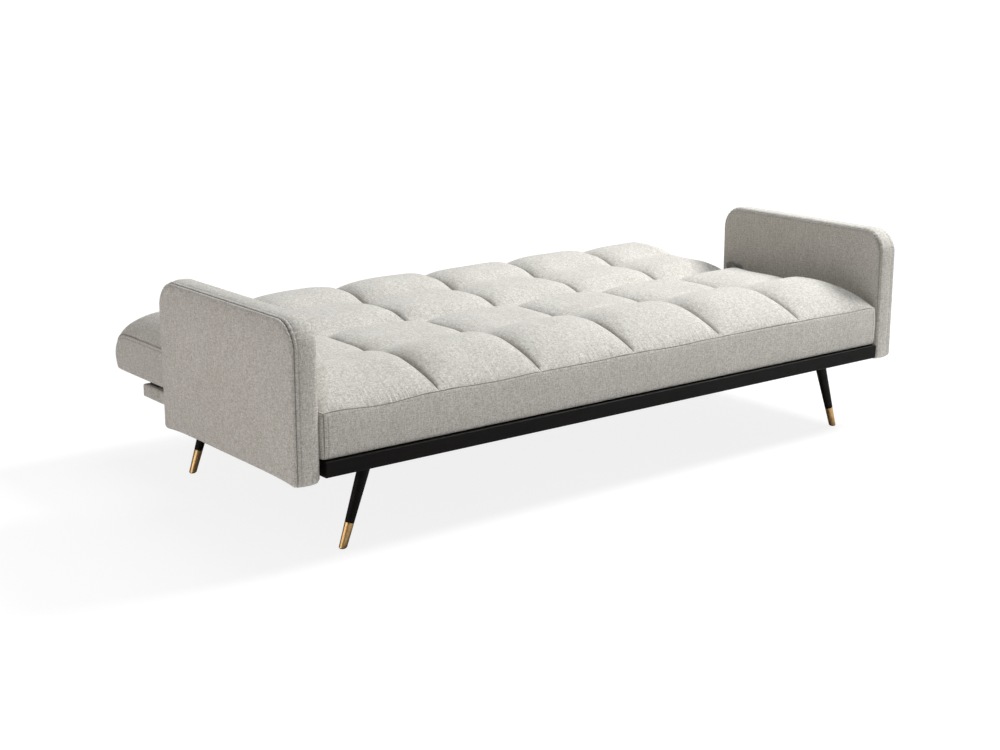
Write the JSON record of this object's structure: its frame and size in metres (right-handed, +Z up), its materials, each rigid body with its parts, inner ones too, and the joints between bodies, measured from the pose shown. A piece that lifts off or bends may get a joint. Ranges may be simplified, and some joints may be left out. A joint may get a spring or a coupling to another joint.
{
  "type": "click clack sofa bed",
  "caption": "Sofa bed opened flat: two quilted halves that hinge at the middle, upholstered side arms, black front rail and splayed black legs with brass tips.",
  "frame": {"origin": "on the floor, under the middle of the bed's overall length and depth", "axes": "+X along the length, towards the right-hand arm seen from the front; +Y from the front rail to the back's free edge; +Z up"},
  "size_m": [1.936, 1.023, 0.553],
  "materials": {
    "upholstery": "light greige woven linen-look cloth, quilted in six by two pillows on each cushion",
    "black_lacquer": "hardwood with a satin black lacquer",
    "brass_tip": "brushed brass",
    "timber": "plain planed softwood, hidden",
    "zinc_steel": "zinc-plated pressed steel",
    "spring_wire": "oil-tempered spring steel",
    "rubber": "black rubber",
    "dust_cloth": "black spun-bonded dust cloth"
  },
  "bodies": {
    "base": {"front_rail": "black_lacquer", "rear_rail": "upholstery", "centre_rail": "timber", "left_side_rail": "upholstery", "right_side_rail": "upholstery", "front_left_leg": "black_lacquer", "front_left_ferrule": "brass_tip", "front_left_glide": "rubber", "front_left_leg_plate": "zinc_steel", "front_right_leg": "black_lacquer", "front_right_ferrule": "brass_tip", "front_right_glide": "rubber", "front_right_leg_plate": "zinc_steel", "rear_left_leg": "black_lacquer", "rear_left_ferrule": "brass_tip", "rear_left_glide": "rubber", "rear_left_leg_plate": "zinc_steel", "rear_right_leg": "black_lacquer", "rear_right_ferrule": "brass_tip", "rear_right_glide": "rubber", "rear_right_leg_plate": "zinc_steel", "left_arm_upholstery": "upholstery", "left_arm_core": "timber", "left_arm_spacer": "timber", "left_arm_stud_plate": "zinc_steel", "left_seat_bumper": "rubber", "left_back_bumper": "rubber", "left_hinge_base_leaf": "zinc_steel", "left_hinge_pin": "zinc_steel", "right_arm_upholstery": "upholstery", "right_arm_core": "timber", "right_arm_spacer": "timber", "right_arm_stud_plate": "zinc_steel", "right_seat_bumper": "rubber", "right_back_bumper": "rubber", "right_hinge_base_leaf": "zinc_steel", "right_hinge_pin": "zinc_steel"},
    "seat": {"seat_cushion": "upholstery", "seat_edge_rail": "timber", "seat_joint_rail": "timber", "seat_left_rail": "timber", "seat_right_rail": "timber", "seat_spring_set": "spring_wire", "seat_dust_cover": "dust_cloth", "left_hinge_seat_leaf": "zinc_steel", "right_hinge_seat_leaf": "zinc_steel"},
    "back": {"back_cushion": "upholstery", "back_edge_rail": "timber", "back_joint_rail": "timber", "back_left_rail": "timber", "back_right_rail": "timber", "back_spring_set": "spring_wire", "back_dust_cover": "dust_cloth", "left_hinge_back_leaf": "zinc_steel", "right_hinge_back_leaf": "zinc_steel", "left_pawl_spring": "spring_wire", "right_pawl_spring": "spring_wire"},
    "left_pawl": {"left_pawl": "zinc_steel"},
    "right_pawl": {"right_pawl": "zinc_steel"}
  },
  "joints": [
    {"name": "seat_lift", "type": "hinge", "parent": "base", "child": "seat", "pos_m": [0, 0.0275, 0.36], "axis": [-1, 0, 0], "range_deg": [0, 20]},
    {"name": "back_recline", "type": "hinge", "parent": "base", "child": "back", "pos_m": [0, 0.0275, 0.36], "axis": [1, 0, 0], "range_deg": [0, 80]},
    {"name": "left_pawl_rock", "type": "hinge", "parent": "back", "child": "left_pawl", "pos_m": [-0.8944, 0.05717, 0.37199], "axis": [-1, 0, 0], "range_deg": [0, 12]},
    {"name": "right_pawl_rock", "type": "hinge", "parent": "back", "child": "right_pawl", "pos_m": [0.8944, 0.05717, 0.37199], "axis": [-1, 0, 0], "range_deg": [0, 12]}
  ],
  "couplings": [
    {"joint": "right_pawl_rock", "follows": "left_pawl_rock", "ratio": 1}
  ]
}
